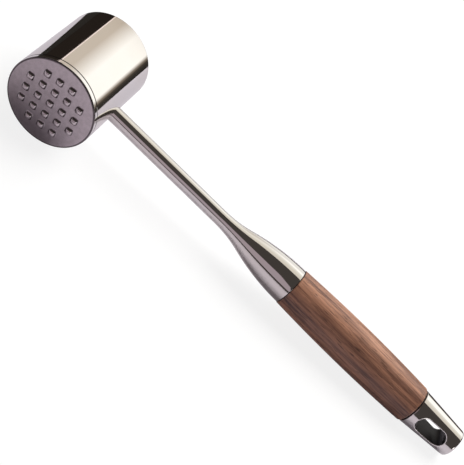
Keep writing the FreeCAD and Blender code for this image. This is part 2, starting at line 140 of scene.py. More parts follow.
class MalletHandleSizes(bpy.types.PropertyGroup):
    """Sizes of the stem, grip and seals."""
    stem_radius: length("Stem radius", "Radius of the slim part of the stem", 4.35 * MM)
    thread_radius: length("Thread radius", "Radius of the stem's thread in the head", 4.0 * MM)
    thread_length: length("Thread length", "Length of that thread", 16.0 * MM)
    flare_start: length("Flare start", "Head's centre to the start of the flare", 101.8 * MM)
    flare_share: share("Flare share", "Part of the flare that curves inwards", 0.3475)
    flare_edge: length("Flare edge", "Rounding of the flare's rear edge", 0.15 * MM)
    belly_place: length("Belly place", "Front of the grip to its largest diameter", 45.4 * MM)
    bow_radius: length("Bow radius", "Radius of the grip's long curve", 1030 * MM)
    grip_front_edge: length("Grip front edge", "Rounding of the grip's front edge", 0.35 * MM)
    grip_rear_edge: length("Grip rear edge", "Rounding of the grip's rear edge", 1.0 * MM)
    bore_gap: length("Bore gap", "Room round the tang rod in the grip", 0.25 * MM)
    pocket_gap: length("Pocket gap", "Room round the cap's spigot in the grip", 0.5 * MM)
    seal_edge: length("Seal edge", "Rounding of a seal's outer edge", 0.12 * MM)


class MalletFinishes(bpy.types.PropertyGroup):
    """Colours and polish."""
    steel: colour("Steel", "Polished stainless steel", (0.80, 0.785, 0.775))
    satin: colour("Satin steel", "Ground and satin-finished toothed plate", (0.60, 0.545, 0.575))
    wood_light: colour("Wood light", "Light bands of the rosewood", (0.50, 0.25, 0.155))
    wood_dark: colour("Wood dark", "Dark bands of the rosewood", (0.088, 0.035, 0.025))
    wood_pore: colour("Wood pores", "Open pores of the rosewood", (0.035, 0.015, 0.011))
    rubber: colour("Rubber", "Black rubber of the seals", (0.012, 0.012, 0.012))
    polish: share("Polish roughness", "Roughness of the polished steel", 0.035)


# Helpers for modelling.

def select_only(*pieces):
    """Select these pieces and nothing else, with the first one active."""
    bpy.ops.object.select_all(action="DESELECT")
    for piece in pieces:
        piece.select_set(True)
    if pieces:
        bpy.context.view_layer.objects.active = pieces[0]


def select_corner(piece, corner):
    """Select the vertex at this corner of an outline."""
    place = Vector((*corner, 0))
    mesh = bmesh.from_edit_mesh(piece.data)
    bpy.ops.mesh.select_mode(type="VERT")
    bpy.ops.mesh.select_all(action="DESELECT")
    for vertex in mesh.verts:
        vertex.select_set((vertex.co - place).length < SAME_PLACE)
    if not any(vertex.select for vertex in mesh.verts):
        raise RuntimeError(f"{piece.name} has no corner at {corner}")
    mesh.select_flush_mode()
    bmesh.update_edit_mesh(piece.data)


def draw_outline(name, corners, roundings=()):
    """Start a piece in edit mode with an outline of edges in its X-Y plane.

    roundings holds (corner, radius) pairs: those corners become short arcs.
    """
    select_only()
    bpy.ops.mesh.primitive_plane_add(size=MM, location=(0, 0, 0))
    piece = bpy.context.object
    piece.name = name
    piece.data.name = name
    bpy.ops.object.mode_set(mode="EDIT")
    bpy.ops.mesh.select_all(action="SELECT")
    bpy.ops.mesh.merge(type="CENTER")
    bpy.ops.transform.translate(value=(*corners[0], 0))
    for corner, follower in zip(corners, corners[1:]):
        step = Vector((*follower, 0)) - Vector((*corner, 0))
        bpy.ops.mesh.extrude_vertices_move(TRANSFORM_OT_translate={"value": step})
    for corner, radius in roundings:
        select_corner(piece, corner)
        bpy.ops.mesh.bevel(
            offset=rounding_offset(corners, corner, radius), segments=ROUNDING_STEPS, affect="VERTICES")
    return piece


def rounding_offset(corners, corner, radius):
    """How far from its corner a rounding of this radius starts, along either side."""
    index = corners.index(corner)
    before = Vector(corners[index - 1]) - Vector(corner)
    after = Vector(corners[index + 1]) - Vector(corner)
    return radius / math.tan(before.angle(after) / 2)


def spin_outline(piece, axis):
    """Turn the outline round one of the piece's axes into a closed solid."""
    bpy.ops.mesh.select_all(action="SELECT")
    bpy.ops.mesh.spin(steps=TURN_STEPS, angle=math.tau, center=(0, 0, 0), axis=axis)
    bpy.ops.mesh.select_all(action="SELECT")
    bpy.ops.mesh.remove_doubles(threshold=SAME_PLACE)
    bpy.ops.mesh.normals_make_consistent(inside=False)
    bpy.ops.object.mode_set(mode="OBJECT")


def apply_modifier(piece, kind, **settings):
    """Add a modifier with these settings and apply it."""
    select_only(piece)
    modifier = piece.modifiers.new(kind.lower(), kind)
    for setting, value in settings.items():
        setattr(modifier, setting, value)
    bpy.ops.object.modifier_apply(modifier=modifier.name)


def cut_or_add(piece, tool, operation):
    """Cut a tool from the piece or add it to the piece, and remove the tool."""
    apply_modifier(piece, "BOOLEAN", operation=operation, object=tool, solver="EXACT")
    bpy.data.objects.remove(tool)


def finish_piece(piece, finish, node):
    """Lay the piece into the mallet, smooth it, give it its finish and let it ride."""
    select_only(piece)
    piece.matrix_world = HANDLE
    bpy.ops.object.transform_apply(location=True, rotation=True, scale=True)
    bpy.ops.object.shade_smooth_by_angle(angle=SMOOTH_BELOW)
    apply_modifier(piece, "WEIGHTED_NORMAL", mode="FACE_AREA", keep_sharp=True)
    piece.data.materials.clear()
    piece.data.materials.append(bpy.data.materials[finish])
    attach(piece, "root")
    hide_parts(node)


# Helpers for materials.

def opaque(tone):
    """A colour with full alpha."""
    return (*tone, 1)


class Nodes:
    """A node tree to which nodes are added with their values and links."""

    def __init__(self, tree):
        self.tree = tree

    def add(self, kind, settings=None, **sockets):
        """Add a node. A socket's value may be a value or another node's output."""
        node = self.tree.nodes.new(kind)
        for setting, value in (settings or {}).items():
            setattr(node, setting, value)
        for name, value in sockets.items():
            self.put(node.inputs[name.replace("_", " ")], value)
        return node

    def put(self, socket, value):
        """Give a socket a value or a link."""
        if isinstance(value, bpy.types.NodeSocket):
            self.tree.links.new(value, socket)
        else:
            socket.default_value = value

    def maths(self, operation, *values, clamp=False):
        """Result of a Math node."""
        node = self.add("ShaderNodeMath", {"operation": operation, "use_clamp": clamp})
        for socket, value in zip(node.inputs, values):
            self.put(socket, value)
        return node.outputs[0]

    def noise(self, vector, scale, detail=2.0, roughness=0.5, distortion=0.0):
        """A noise value from 0 to 1."""
        node = self.add("ShaderNodeTexNoise", Vector=vector, Scale=scale, Detail=detail,
                        Roughness=roughness, Distortion=distortion)
        return node.outputs["Fac"]

    def band(self, value, start, end, low=0.0, high=1.0, kind="SMOOTHSTEP"):
        """A value rescaled from start..end to low..high."""
        node = self.add("ShaderNodeMapRange", {"interpolation_type": kind})
        for name, number in (("Value", value), ("From Min", start), ("From Max", end),
                             ("To Min", low), ("To Max", high)):
            self.put(node.inputs[name], number)
        return node.outputs["Result"]

    def ramp(self, value, stops):
        """A colour looked up along stops, each (position from 0 to 1, colour)."""
        node = self.add("ShaderNodeValToRGB", Fac=value)
        elements = node.color_ramp.elements
        for (position, tone), element in zip(stops, elements):
            element.position, element.color = position, opaque(tone)
        for position, tone in stops[len(elements):]:
            elements.new(position).color = opaque(tone)
        return node.outputs["Color"]

    def mix_colour(self, factor, first, second):
        """The first colour where the factor is 0 and the second where it is 1."""
        node = self.add("ShaderNodeMix", {"data_type": "RGBA"})
        self.put(node.inputs["Factor"], factor)
        self.put(node.inputs[6], first)
        self.put(node.inputs[7], second)
        return node.outputs[2]

    def split(self, vector):
        """X, Y and Z of a vector."""
        return self.add("ShaderNodeSeparateXYZ", Vector=vector).outputs

    def distance(self, across, along):
        """Distance from the origin to a point given by its two parts."""
        node = self.add("ShaderNodeVectorMath", {"operation": "LENGTH"})
        self.put(node.inputs[0], self.add("ShaderNodeCombineXYZ", X=across, Y=along).outputs[0])
        return node.outputs["Value"]

    def stage_place(self, coordinates):
        """X and Y of a stage board's own coordinates."""
        return self.split(self.add("ShaderNodeTexCoord").outputs[coordinates])[:2]

    def glowing(self, tone, glow, strength):
        """A matt surface that also gives off some light of its own."""
        both = self.add("ShaderNodeAddShader")
        self.put(both.inputs[0], self.add("ShaderNodeBsdfDiffuse", Color=tone).outputs[0])
        self.put(both.inputs[1], self.add("ShaderNodeEmission", Color=glow, Strength=strength).outputs[0])
        return both.outputs[0]

    def seen_or_mirrored(self, seen, mirrored):
        """One shader where the camera looks straight at the surface, another for all other rays."""
        mix = self.add("ShaderNodeMixShader")
        self.put(mix.inputs[0], self.add("ShaderNodeLightPath").outputs["Is Camera Ray"])
        self.put(mix.inputs[1], mirrored)
        self.put(mix.inputs[2], seen)
        return mix.outputs[0]


def new_material(name):
    """Start a material. Gives its nodes, which are only its shader so far, and that shader."""
    material = bpy.data.materials.new(name)
    material.use_nodes = True
    return Nodes(material.node_tree), material.node_tree.nodes["Principled BSDF"]


def new_group(name, inputs, outputs):
    """A node group with named sockets, each (name, kind, default), and its two end nodes."""
    group = bpy.data.node_groups.new(name, "ShaderNodeTree")
    for socket_name, kind, default in inputs:
        socket = group.interface.new_socket(name=socket_name, in_out="INPUT", socket_type=kind)
        if default is not None:
            socket.default_value = default
    for socket_name, kind in outputs:
        group.interface.new_socket(name=socket_name, in_out="OUTPUT", socket_type=kind)
    nodes = Nodes(group)
    return nodes, nodes.add("NodeGroupInput"), nodes.add("NodeGroupOutput")


def place_group(nodes, name, **sockets):
    """Put a group into a tree with its own values."""
    return nodes.add("ShaderNodeGroup", {"node_tree": bpy.data.node_groups[name]}, **sockets)


def handle_coordinates(nodes):
    """Object coordinates in the handle's own frame."""
    place = nodes.add("ShaderNodeTexCoord").outputs["Object"]
    return nodes.add("ShaderNodeMapping", {"vector_type": "TEXTURE"}, Vector=place,
                     Location=HEAD, Rotation=(0, DIP, 0)).outputs[0]


FLOAT, COLOUR, VECTOR = "NodeSocketFloat", "NodeSocketColor", "NodeSocketVector"


def make_handling_marks():
    """Group: marks that handling leaves on metal, soft smudges and fine hairlines."""
    nodes, given, out = new_group(
        "handling_marks",
        [("Vector", VECTOR, None), ("Smudge Size", FLOAT, 60.0), ("Hairlines", FLOAT, 0.3),
         ("Base", FLOAT, 0.05), ("Spread", FLOAT, 0.05)],
        [("Roughness", FLOAT), ("Height", FLOAT)])
    vector = given.outputs["Vector"]
    smudge = nodes.band(nodes.noise(vector, given.outputs["Smudge Size"], 4.0, 0.55), 0.42, 0.72)
    slanting, long_and_thin = (0.4, 0.9, 0.3), (60, 2600, 2600)
    drawn_out = nodes.add("ShaderNodeMapping", Vector=vector, Rotation=slanting,
                          Scale=long_and_thin).outputs[0]
    hairlines = nodes.band(nodes.noise(drawn_out, 1.0, 3.0, 0.6), 0.60, 0.78)
    faint = nodes.maths("MULTIPLY", hairlines, given.outputs["Hairlines"])
    marks = nodes.maths("ADD", smudge, faint)
    spread = nodes.maths("MULTIPLY", marks, given.outputs["Spread"])
    nodes.put(out.inputs["Roughness"], nodes.maths("ADD", spread, given.outputs["Base"]))
    nodes.put(out.inputs["Height"], nodes.maths("MULTIPLY", faint, -1.0))


def make_turning_lines():
    """Group: fine rings that a lathe leaves, across the given direction."""
    nodes, given, out = new_group(
        "turning_lines",
        [("Distance", FLOAT, 0.0), ("Spacing", FLOAT, 2500.0)],
        [("Height", FLOAT)])
    scaled = nodes.maths("MULTIPLY", given.outputs["Distance"], given.outputs["Spacing"])
    line = nodes.add("ShaderNodeCombineXYZ", X=scaled).outputs[0]
    nodes.put(out.inputs["Height"], nodes.noise(line, 1.0, 3.0, 0.7))


def make_long_grain():
    """Group: straight long grain with dark bands, fine streaks and short open pores."""
    nodes, given, out = new_group(
        "long_grain",
        [("Vector", VECTOR, None), ("Light", COLOUR, None), ("Dark", COLOUR, None),
         ("Pores", COLOUR, None)],
        [("Color", COLOUR), ("Roughness", FLOAT), ("Height", FLOAT)])
    vector = given.outputs["Vector"]

    def along_handle(shortening, scale, detail, roughness, distortion=0.0):
        """Noise drawn out along the handle: the smaller the shortening, the longer its streaks."""
        drawn_out = nodes.add("ShaderNodeMapping", Vector=vector, Scale=(shortening, 1, 1)).outputs[0]
        return nodes.noise(drawn_out, scale, detail, roughness, distortion)

    def part_of(value, part):
        return nodes.maths("MULTIPLY", value, part)

    bands = nodes.band(along_handle(0.06, 240.0, 3.0, 0.55, distortion=0.4), 0.36, 0.66)
    streaks = nodes.band(along_handle(0.035, 1100.0, 4.0, 0.7), 0.38, 0.62)
    fibres = along_handle(0.02, 3600.0, 2.0, 0.6)
    pores = nodes.band(along_handle(0.06, 2200.0, 1.0, 0.4), 0.62, 0.70)
    tone = nodes.maths("ADD", part_of(bands, 0.62), part_of(streaks, 0.38))
    tone = nodes.maths("ADD", tone, part_of(nodes.maths("SUBTRACT", fibres, 0.5), 0.5), clamp=True)
    wood = nodes.mix_colour(tone, given.outputs["Light"], given.outputs["Dark"])
    nodes.put(out.inputs["Color"], nodes.mix_colour(part_of(pores, 0.75), wood, given.outputs["Pores"]))
    nodes.put(out.inputs["Roughness"], nodes.band(tone, 0.0, 1.0, 0.36, 0.46))
    relief = nodes.maths("ADD", part_of(fibres, 0.35), part_of(tone, -0.25))
    nodes.put(out.inputs["Height"], nodes.maths("SUBTRACT", relief, pores))


def bump(nodes, shader, height, depth):
    """Feed a height into the shader's normal, with the depth in metres of a height of 1."""
    node = nodes.add("ShaderNodeBump", Height=height, Strength=1.0, Distance=depth)
    nodes.put(shader.inputs["Normal"], node.outputs[0])


def polish_marks(nodes, place, finishes):
    """The marks on a polished surface, the same on the steel and on the chrome."""
    return place_group(nodes, "handling_marks", Vector=place, Smudge_Size=75.0, Hairlines=0.35,
                       Base=finishes.polish, Spread=0.045)


def mirror_steel(finishes):
    """Mirror-polished stainless steel with faint smudges and hairlines, and painted shade in the seam."""
    nodes, shader = new_material("mirror_steel")
    place = handle_coordinates(nodes)
    marks = polish_marks(nodes, place, finishes)
    tint = nodes.band(nodes.noise(place, 28.0), 0.3, 0.7)
    red, green, blue = finishes.steel
    polished = nodes.mix_colour(tint, opaque(finishes.steel), (red, green * 0.985, blue * 0.965, 1))
    _, depth, _ = nodes.split(place)
    # Painted shade: the steel darkens to near black along the seam's chamfer.
    seam = nodes.band(depth, SHELL_LOW.y + 0.45 * MM, SHELL_LOW.y + 0.25 * MM)
    seam_shade = (0.03, 0.03, 0.03, 1)
    nodes.put(shader.inputs["Base Color"],
              nodes.mix_colour(nodes.maths("MULTIPLY", seam, 0.9), polished, seam_shade))
    shader.inputs["Metallic"].default_value = 1.0
    nodes.put(shader.inputs["Roughness"], marks.outputs["Roughness"])
    bump(nodes, shader, marks.outputs["Height"], 0.004 * MM)


def ground_steel(finishes, sizes):
    """Satin steel of the toothed plate.

    The teeth's tips are lighter, partly from wear and partly a painted highlight; their flanks
    and the face's outer edge carry painted shade, and the rim is polished like the shell.
    """
    nodes, shader = new_material("ground_steel")
    place = handle_coordinates(nodes)
    marks = place_group(nodes, "handling_marks", Vector=place, Smudge_Size=140.0, Hairlines=0.6,
                        Base=0.16, Spread=0.10)
    along, depth, upwards = nodes.split(place)
    face = PLATE_LOW.y + sizes.tooth_height
    tips = nodes.band(depth, PLATE_LOW.y + 1.20 * MM, PLATE_LOW.y + 0.75 * MM)
    # Painted shade: the teeth's flanks darken just above the face.
    flanks = nodes.maths("SUBTRACT", nodes.band(depth, face - 0.02 * MM, face - 0.30 * MM), tips)
    flat = sizes.radius - sizes.plate_edge
    # Painted shade: a dark line round the face's outer edge, stopped short of the rim.
    edge = nodes.band(nodes.distance(along, upwards), flat - 0.25 * MM, flat - 0.05 * MM)
    rim = nodes.band(depth, face + 0.45 * sizes.plate_edge, face + 0.7 * sizes.plate_edge)
    dark = nodes.maths("ADD", nodes.maths("MULTIPLY", flanks, 0.80),
                       nodes.maths("MULTIPLY", nodes.maths("SUBTRACT", edge, rim), 0.85))
    mottle = nodes.band(nodes.noise(place, 420.0, 4.0, 0.6), 0.3, 0.7)
    dull = opaque(value * 0.86 for value in finishes.satin)
    # shaded is the colour of the painted shade; the tips' colour is partly wear and partly a painted
    # highlight.
    shaded, wear_and_highlight = (0.07, 0.06, 0.065, 1), (0.66, 0.61, 0.63, 1)
    ground = nodes.mix_colour(dark, nodes.mix_colour(mottle, opaque(finishes.satin), dull), shaded)
    ground = nodes.mix_colour(tips, ground, wear_and_highlight)
    nodes.put(shader.inputs["Base Color"], nodes.mix_colour(rim, ground, opaque(finishes.steel)))
    shader.inputs["Metallic"].default_value = 1.0
    polish = nodes.maths("ADD", nodes.maths("MULTIPLY", tips, 0.08), nodes.maths("MULTIPLY", rim, 0.14))
    nodes.put(shader.inputs["Roughness"], nodes.maths("SUBTRACT", marks.outputs["Roughness"], polish))
    grit = nodes.noise(place, 2600.0, 3.0, 0.6)
    bump(nodes, shader, nodes.maths("ADD", grit, marks.outputs["Height"]), 0.004 * MM)


def chromed_cap(finishes):
    """Chromed end cap: mirror-bright outside; inside the slot rough, with painted shade near black."""
    nodes, shader = new_material("chromed_cap")
    place = handle_coordinates(nodes)
    marks = polish_marks(nodes, place, finishes)
    slot_place = nodes.add("ShaderNodeMapping", {"vector_type": "TEXTURE"}, Vector=place,
                           Location=(SLOT_ALONG, 0, 0), Rotation=(-SLOT_TURN, 0, 0)).outputs[0]
    along, _, upwards = nodes.split(slot_place)
    past_centre = nodes.maths("SUBTRACT", nodes.maths("ABSOLUTE", along), SLOT_REACH)
    from_middle = nodes.distance(nodes.maths("MAXIMUM", past_centre, 0.0), upwards)
    inside = nodes.band(from_middle, SLOT_RADIUS + 0.15 * MM, SLOT_RADIUS + 0.02 * MM)
    # Painted shade: the slot's inner walls are coloured near black.
    slot_shade = nodes.mix_colour(nodes.noise(place, 900.0, 3.0, 0.6),
                            (0.010, 0.010, 0.012, 1), (0.028, 0.026, 0.027, 1))
    nodes.put(shader.inputs["Base Color"], nodes.mix_colour(inside, opaque(finishes.steel), slot_shade))
    shader.inputs["Metallic"].default_value = 1.0
    nodes.put(shader.inputs["Roughness"],
              nodes.maths("ADD", marks.outputs["Roughness"], nodes.maths("MULTIPLY", inside, 0.35)))
    bump(nodes, shader, marks.outputs["Height"], 0.004 * MM)


def machined_steel():
    """Plain machined steel of the core, rod, washer and nut inside."""
    nodes, shader = new_material("machined_steel")
    place = handle_coordinates(nodes)
    along, _, _ = nodes.split(place)
    rings = place_group(nodes, "turning_lines", Distance=along, Spacing=3000.0).outputs["Height"]
    marks = place_group(nodes, "handling_marks", Vector=place, Smudge_Size=120.0, Hairlines=0.4,
                        Base=0.28, Spread=0.12)
    nodes.put(shader.inputs["Base Color"],
              nodes.mix_colour(rings, (0.42, 0.41, 0.40, 1), (0.56, 0.55, 0.54, 1)))
    shader.inputs["Metallic"].default_value = 1.0
    nodes.put(shader.inputs["Roughness"], marks.outputs["Roughness"])
    bump(nodes, shader, nodes.maths("ADD", rings, marks.outputs["Height"]), 0.01 * MM)


def oiled_rosewood(finishes):
    """Oiled rosewood with its grain along the handle."""
    nodes, shader = new_material("oiled_rosewood")
    grain = place_group(
        nodes, "long_grain", Vector=handle_coordinates(nodes), Light=opaque(finishes.wood_light),
        Dark=opaque(finishes.wood_dark), Pores=opaque(finishes.wood_pore))
    nodes.put(shader.inputs["Base Color"], grain.outputs["Color"])
    nodes.put(shader.inputs["Roughness"], grain.outputs["Roughness"])
    shader.inputs["Coat Weight"].default_value = 0.30
    shader.inputs["Coat Roughness"].default_value = 0.36
    bump(nodes, shader, grain.outputs["Height"], 0.03 * MM)


def black_rubber(finishes):
    """Matt black rubber of the seals."""
    nodes, shader = new_material("black_rubber")
    speckle = nodes.noise(handle_coordinates(nodes), 3000.0, 3.0, 0.7)
    lighter = opaque(value * 1.8 for value in finishes.rubber)
    nodes.put(shader.inputs["Base Color"], nodes.mix_colour(speckle, opaque(finishes.rubber), lighter))
    nodes.put(shader.inputs["Roughness"], nodes.band(speckle, 0.2, 0.8, 0.55, 0.8))
    bump(nodes, shader, speckle, 0.01 * MM)


# Pieces.

class MALLET_OT_materials(bpy.types.Operator):
    """Make the mallet's materials and give the hidden steel pieces theirs"""
    bl_idname = "mallet.materials"
    bl_label = "Finishes"

    def execute(self, context):
        finishes = context.scene.mallet_finishes
        make_handling_marks()
        make_turning_lines()
        make_long_grain()
        mirror_steel(finishes)
        ground_steel(finishes, context.scene.mallet_head)
        chromed_cap(finishes)
        oiled_rosewood(finishes)
        black_rubber(finishes)
        machined_steel()
        for node in ("head_core", "tang_rod", "tang_washer", "tang_nut"):
            frame["nodes"][node].data.materials[0] = bpy.data.materials["machined_steel"]
        return {"FINISHED"}


class MALLET_OT_head_shell(bpy.types.Operator):
    """Turn the head's polished shell, with its closed flat face, and bore it for the stem"""
    bl_idname = "mallet.head_shell"
    bl_label = "Head shell"

    def execute(self, context):
        sizes = context.scene.mallet_head
        seam, flat = SHELL_LOW.y, SHELL_HIGH.y
        bore = sizes.radius - sizes.wall
        flat_corner = (sizes.radius, flat)
        shell = draw_outline("polished_head_shell", [
            (0, flat - sizes.flat_wall),
            (bore, flat - sizes.flat_wall),
            (bore, seam),
            (sizes.radius - sizes.seam_chamfer, seam),
            (sizes.radius, seam + sizes.seam_chamfer),
            flat_corner,
            (0, flat),
        ], [(flat_corner, sizes.flat_edge)])
        spin_outline(shell, (0, 1, 0))
        select_only()
        bpy.ops.mesh.primitive_cylinder_add(
            vertices=HOLE_STEPS, radius=context.scene.mallet_handle.stem_radius + sizes.stem_gap,
            depth=sizes.radius, rotation=(0, math.pi / 2, 0), location=(sizes.radius, 0, 0))
        cut_or_add(shell, bpy.context.object, "DIFFERENCE")
        finish_piece(shell, "mirror_steel", "head_shell")
        return {"FINISHED"}


class MALLET_OT_toothed_face(bpy.types.Operator):
    """Turn the satin plate and raise its blunt teeth, five by five without the corners"""
    bl_idname = "mallet.toothed_face"
    bl_label = "Toothed face"

    def execute(self, context):
        sizes = context.scene.mallet_head
        face, inner = PLATE_LOW.y + sizes.tooth_height, PLATE_HIGH.y
        seam = face + sizes.rim
        spigot = sizes.radius - sizes.wall
        face_corner = (sizes.radius, face)
        plate = draw_outline("satin_toothed_face", [
            (0, face),
            face_corner,
            (sizes.radius, seam - sizes.seam_chamfer),
            (sizes.radius - sizes.seam_chamfer, seam),
            (spigot, seam),
            (spigot, inner),
            (0, inner),
        ], [(face_corner, sizes.plate_edge)])
        spin_outline(plate, (0, 1, 0))
        cut_or_add(plate, self.raise_teeth(sizes, face), "UNION")
        finish_piece(plate, "ground_steel", "toothed_face")
        return {"FINISHED"}

    def tooth_levels(self, sizes):
        """Width and height of a tooth's cross-sections: a small fillet at the foot, then the dome."""
        foot, top, fullness = sizes.tooth_foot, sizes.tooth_height, 2.2
        fillet = [(1.16 * foot, 0.01 * MM), (1.06 * foot, 0.07 * MM), (foot, 0.20 * MM)]
        narrowing = [1 - step / 12.5 for step in range(1, 12)]
        dome = [(part * foot, top * (1 - part ** fullness)) for part in narrowing]
        return [*fillet, *dome, (0.05 * foot, top)]

    def raise_tooth(self, sizes, face):
        """Model one tooth at the plate's centre: a rounded square foot drawn up to a domed tip."""
        root = 0.3 * MM
        levels = self.tooth_levels(sizes)
        last_width, last_height = levels[0][0], -root
        select_only()
        bpy.ops.mesh.primitive_plane_add(
            size=last_width, rotation=(math.pi / 2, 0, 0), location=(0, face + root, 0))
        tooth = bpy.context.object
        bpy.ops.object.transform_apply(location=True, rotation=True, scale=True)
        bpy.ops.object.mode_set(mode="EDIT")
        bpy.ops.mesh.select_all(action="SELECT")
        bpy.ops.mesh.bevel(offset=sizes.tooth_corner, segments=ROUNDING_STEPS, affect="VERTICES")
        for width, height in levels:
            rise = Vector((0, -(height - last_height), 0))
            bpy.ops.mesh.extrude_region_move(TRANSFORM_OT_translate={"value": rise})
            ratio = width / last_width
            bpy.ops.transform.resize(value=(ratio, 1, ratio), center_override=(0, face, 0))
            last_width, last_height = width, height
        bpy.ops.mesh.select_all(action="SELECT")
        bpy.ops.mesh.normals_make_consistent(inside=False)
        bpy.ops.object.mode_set(mode="OBJECT")
        return tooth

    def raise_teeth(self, sizes, face):
        """Copy the tooth over the plate and join the copies."""
        tooth = self.raise_tooth(sizes, face)
        teeth = [tooth]
        outermost = 2
        for row, column in itertools.product(range(-outermost, outermost + 1), repeat=2):
            at_middle, at_corner = row == column == 0, abs(row) == abs(column) == outermost
            if at_middle or at_corner:
                continue
            select_only(tooth)
            bpy.ops.object.duplicate(linked=False)
            copy = bpy.context.object
            copy.location = (column * sizes.tooth_pitch, 0, row * sizes.tooth_pitch)
            teeth.append(copy)
        select_only(*teeth)
        bpy.ops.object.join()
        tooth.rotation_euler = (0, -sizes.tooth_turn, 0)
        bpy.ops.object.transform_apply(location=True, rotation=True, scale=True)
        return tooth


class MALLET_OT_stem(bpy.types.Operator):
    """Turn the slim stem, its threaded front end and its trumpet flare"""
    bl_idname = "mallet.stem"
    bl_label = "Stem"

    def flare(self, sizes):
        """Points along the flare: a hollow arc, then a full one, both level at their ends."""
        run, rise = STEM_REAR - sizes.flare_start, FLARE_RADIUS - sizes.stem_radius
        both = (run ** 2 + rise ** 2) / (2 * rise)
        hollow, full = sizes.flare_share * both, (1 - sizes.flare_share) * both
        steepest = math.asin(run / both)
        turns = [steepest * step / CURVE_STEPS for step in range(1, CURVE_STEPS + 1)]
        points = [(sizes.flare_start + hollow * math.sin(turn),
                   sizes.stem_radius + hollow * (1 - math.cos(turn))) for turn in turns]
        points += [(STEM_REAR - full * math.sin(turn),
                    FLARE_RADIUS - full * (1 - math.cos(turn))) for turn in reversed(turns[:-1])]
        return points

    def execute(self, context):
        sizes = context.scene.mallet_handle
        seat = STEM_FRONT + sizes.thread_length
        lead_in = 0.6 * MM
        rod_point = 0.6 * ROD_RADIUS
        rear_corner = (STEM_REAR, FLARE_RADIUS)
        stem = draw_outline("polished_stem", [
            (STEM_FRONT, 0),
            (STEM_FRONT, sizes.thread_radius - lead_in),
            (STEM_FRONT + lead_in, sizes.thread_radius),
            (seat, sizes.thread_radius),
            (seat, sizes.stem_radius),
            (sizes.flare_start, sizes.stem_radius),
            *self.flare(sizes),
            rear_corner,
            (STEM_REAR, ROD_RADIUS),
            (ROD_FRONT, ROD_RADIUS),
            (ROD_FRONT - rod_point, 0),
        ], [(rear_corner, sizes.flare_edge)])
        spin_outline(stem, (1, 0, 0))
        finish_piece(stem, "mirror_steel", "stem")
        return {"FINISHED"}


class MALLET_OT_grip(bpy.types.Operator):
    """Turn the wooden grip on its long bow, bore it and sink the pocket in its rear end"""
    bl_idname = "mallet.grip"
    bl_label = "Grip"

    def bow(self, sizes):
        """Points along the grip's long curve, its two ends included."""
        middle = GRIP_FRONT + sizes.belly_place
        centre = BELLY_RADIUS - sizes.bow_radius
        places = [GRIP_FRONT + (GRIP_REAR - GRIP_FRONT) * step / CURVE_STEPS
                  for step in range(CURVE_STEPS + 1)]
        return [(place, centre + math.sqrt(sizes.bow_radius ** 2 - (place - middle) ** 2))
                for place in places]

    def execute(self, context):
        sizes = context.scene.mallet_handle
        bore = ROD_RADIUS + sizes.bore_gap
        pocket = WASHER_RADIUS + sizes.pocket_gap
        bow = self.bow(sizes)
        grip = draw_outline("rosewood_grip", [
            (GRIP_FRONT, bore),
            *bow,
            (GRIP_REAR, pocket),
            (WASHER_FRONT, pocket),
            (WASHER_FRONT, bore),
            (GRIP_FRONT, bore),
        ], [(bow[0], sizes.grip_front_edge), (bow[-1], sizes.grip_rear_edge)])
        spin_outline(grip, (1, 0, 0))
        finish_piece(grip, "oiled_rosewood", "grip")
        return {"FINISHED"}


class MALLET_OT_seals(bpy.types.Operator):
    """Turn the two thin rubber seals at the ends of the grip"""
    bl_idname = "mallet.seals"
    bl_label = "Seals"

    def execute(self, context):
        sizes = context.scene.mallet_handle
        for name, node, inside in (
                ("front_rubber_seal", "front_seal", ROD_RADIUS + sizes.bore_gap),
                ("rear_rubber_seal", "rear_seal", WASHER_RADIUS)):
            front, rear, outside = reach(node)
            first, second = (front, outside), (rear, outside)
            seal = draw_outline(name, [
                (front, inside), first, second, (rear, inside), (front, inside),
            ], [(first, sizes.seal_edge), (second, sizes.seal_edge)])
            spin_outline(seal, (1, 0, 0))
            finish_piece(seal, "black_rubber", node)
        return {"FINISHED"}


class MALLET_OT_end_cap(bpy.types.Operator):
    """Give the end cap, whose shape comes from the frame, its chrome"""
    bl_idname = "mallet.end_cap"
    bl_label = "End cap"

    def execute(self, context):
        frame["nodes"]["end_cap"].data.materials[0] = bpy.data.materials["chromed_cap"]
        return {"FINISHED"}


# Stage.

